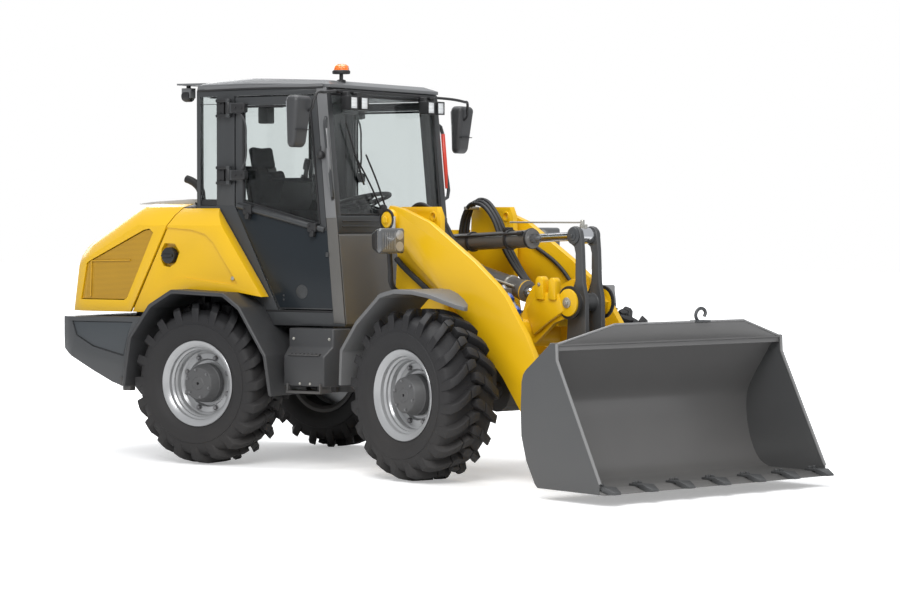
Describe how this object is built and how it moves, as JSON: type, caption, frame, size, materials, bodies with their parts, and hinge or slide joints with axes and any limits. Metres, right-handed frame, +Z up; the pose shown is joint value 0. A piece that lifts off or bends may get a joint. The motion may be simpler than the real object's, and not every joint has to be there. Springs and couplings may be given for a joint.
{
  "type": "compact articulated wheel loader",
  "caption": "Compact wheel loader hinged in the middle: cab and engine behind, boom, tilt lever and toothed bucket in front, on lug tyres.",
  "frame": {"origin": "on the ground under the middle of the whole machine's bounding box, as it stands turned at its centre hinge", "axes": "+X forward along the rear frame, +Y to the driver's left, +Z up"},
  "size_m": [5.4954, 2.9868, 2.66],
  "materials": {
    "yellow_paint": "satin",
    "dark_paint": "satin",
    "black_trim": "matt",
    "tyre_rubber": "matt",
    "rim_paint": "satin",
    "glazing": "clear",
    "bucket_steel": "satin",
    "seat_cloth": "woven",
    "rod_chrome": "polished",
    "beacon_lens": "translucent",
    "engine_iron": "matt"
  },
  "bodies": {
    "rear_body": {"rear_frame": "dark_paint", "counterweight": "dark_paint", "engine_block": "engine_iron", "rear_axle": "dark_paint", "cowl": "black_trim", "exhaust_pipe": "black_trim", "cab_tub": "dark_paint", "cab_frame": "dark_paint", "cab_roof": "dark_paint", "windshield": "glazing", "rear_window": "glazing", "seat_base": "black_trim", "seat": "seat_cloth", "steering_column": "black_trim", "light_bar": "black_trim", "beacon": "beacon_lens", "left_rear_fender": "dark_paint", "left_side_panel": "yellow_paint", "left_step_box": "dark_paint", "left_quarter_window": "glazing", "left_mirror": "black_trim", "right_rear_fender": "dark_paint", "right_side_panel": "yellow_paint", "right_step_box": "dark_paint", "right_quarter_window": "glazing", "right_mirror": "black_trim"},
    "hood": {"hood": "yellow_paint"},
    "steering_barrel": {"steering_barrel": "dark_paint"},
    "steering_rod": {"steering_rod": "rod_chrome"},
    "right_rear_wheel": {"right_rear_tyre": "tyre_rubber", "right_rear_rim": "rim_paint"},
    "left_rear_wheel": {"left_rear_tyre": "tyre_rubber", "left_rear_rim": "rim_paint"},
    "left_door": {"left_door": "dark_paint", "left_door_glass": "glazing"},
    "right_door": {"right_door": "dark_paint", "right_door_glass": "glazing"},
    "front_body": {"front_frame": "yellow_paint", "front_axle": "dark_paint", "left_front_fender": "dark_paint", "left_headlight": "black_trim", "right_front_fender": "dark_paint", "right_headlight": "black_trim"},
    "boom": {"boom": "yellow_paint"},
    "tilt_lever": {"tilt_lever": "dark_paint"},
    "tilt_link": {"tilt_link": "dark_paint"},
    "lift_barrel": {"lift_barrel": "dark_paint"},
    "lift_rod": {"lift_rod": "rod_chrome"},
    "tilt_barrel": {"tilt_barrel": "dark_paint"},
    "tilt_rod": {"tilt_rod": "rod_chrome"},
    "bucket": {"quick_coupler": "bucket_steel", "bucket": "bucket_steel"},
    "right_front_wheel": {"right_front_tyre": "tyre_rubber", "right_front_rim": "rim_paint"},
    "left_front_wheel": {"left_front_tyre": "tyre_rubber", "left_front_rim": "rim_paint"}
  },
  "joints": [
    {"name": "steering", "type": "hinge", "parent": "rear_body", "child": "front_body", "pos_m": [-0.40324, 0.37836, 0.654], "axis": [0, 0, 1], "range_deg": [-21, 59]},
    {"name": "boom_lift", "type": "hinge", "parent": "front_body", "child": "boom", "pos_m": [-0.05576, 0.25871, 1.628], "axis": [-0.3256, -0.9455, 0], "range_deg": [-1.3, 86]},
    {"name": "bucket_tilt", "type": "hinge", "parent": "boom", "child": "bucket", "pos_m": [1.45707, -0.2622, 0.3], "axis": [0.3256, 0.9455, 0], "range_deg": [-45, 126]},
    {"name": "tilt_lever", "type": "hinge", "parent": "boom", "child": "tilt_lever", "pos_m": [1.26796, -0.19708, 1.115], "axis": [-0.3256, -0.9455, 0], "range_deg": [-7.3, 20.3]},
    {"name": "tilt_link", "type": "hinge", "parent": "tilt_lever", "child": "tilt_link", "pos_m": [1.22069, -0.1808, 0.63], "axis": [-0.3256, -0.9455, 0], "range_deg": [-55.5, 19.9]},
    {"name": "lift_barrel", "type": "hinge", "parent": "front_body", "child": "lift_barrel", "pos_m": [0.04824, 0.2229, 1.33], "axis": [-0.3256, -0.9455, 0], "range_deg": [-1.4, 83.9]},
    {"name": "lift_rod", "type": "slide", "parent": "lift_barrel", "child": "lift_rod", "axis": [0.9244, -0.3183, -0.2104], "range_m": [-0.007, 0.429]},
    {"name": "tilt_barrel", "type": "hinge", "parent": "front_body", "child": "tilt_barrel", "pos_m": [-0.20705, 0.3108, 1.465], "axis": [-0.3256, -0.9455, 0], "range_deg": [-1.2, 73.1]},
    {"name": "tilt_rod", "type": "slide", "parent": "tilt_barrel", "child": "tilt_rod", "axis": [0.9447, -0.3253, 0.0416], "range_m": [-0.137, 0.05]},
    {"name": "steering_barrel", "type": "hinge", "parent": "rear_body", "child": "steering_barrel", "pos_m": [-1.01574, 0.23336, 0.61], "axis": [0, 0, 1], "range_deg": [-7.9, 21.9]},
    {"name": "steering_rod", "type": "slide", "parent": "steering_barrel", "child": "steering_rod", "axis": [0.9616, -0.2746, 0], "range_m": [-0.083, 0.233]},
    {"name": "hood_lift", "type": "hinge", "parent": "rear_body", "child": "hood", "pos_m": [-1.72174, 0.37836, 1.721], "axis": [0, 1, 0], "range_deg": [0, 50]},
    {"name": "left_door", "type": "hinge", "parent": "rear_body", "child": "left_door", "pos_m": [-1.36774, 1.10036, 2.148], "axis": [0, 0, 1], "range_deg": [0, 100]},
    {"name": "right_door", "type": "hinge", "parent": "rear_body", "child": "right_door", "pos_m": [-1.36774, -0.34364, 2.148], "axis": [0, 0, -1], "range_deg": [0, 100]},
    {"name": "left_rear_wheel", "type": "hinge", "parent": "rear_body", "child": "left_rear_wheel", "pos_m": [-1.48574, 1.12836, 0.5375], "axis": [0, 1, 0], "continuous": true},
    {"name": "left_front_wheel", "type": "hinge", "parent": "front_body", "child": "left_front_wheel", "pos_m": [0.86446, 0.73507, 0.5375], "axis": [0.3256, 0.9455, 0], "continuous": true},
    {"name": "right_rear_wheel", "type": "hinge", "parent": "rear_body", "child": "right_rear_wheel", "pos_m": [-1.48574, -0.37164, 0.5375], "axis": [0, 1, 0], "continuous": true},
    {"name": "right_front_wheel", "type": "hinge", "parent": "front_body", "child": "right_front_wheel", "pos_m": [0.37611, -0.68321, 0.5375], "axis": [0.3256, 0.9455, 0], "continuous": true}
  ],
  "couplings": [
    {"joint": "tilt_lever", "follows": "bucket_tilt", "ratio": 0.16},
    {"joint": "tilt_link", "follows": "bucket_tilt", "ratio": -0.44},
    {"joint": "lift_barrel", "follows": "boom_lift", "ratio": 0.975},
    {"joint": "lift_rod", "follows": "boom_lift", "m_per_rad": 0.28529},
    {"joint": "tilt_barrel", "follows": "boom_lift", "ratio": 0.849},
    {"joint": "tilt_rod", "follows": "bucket_tilt", "m_per_rad": -0.062},
    {"joint": "steering_barrel", "follows": "steering", "ratio": 0.37},
    {"joint": "steering_rod", "follows": "steering", "m_per_rad": 0.225}
  ]
}
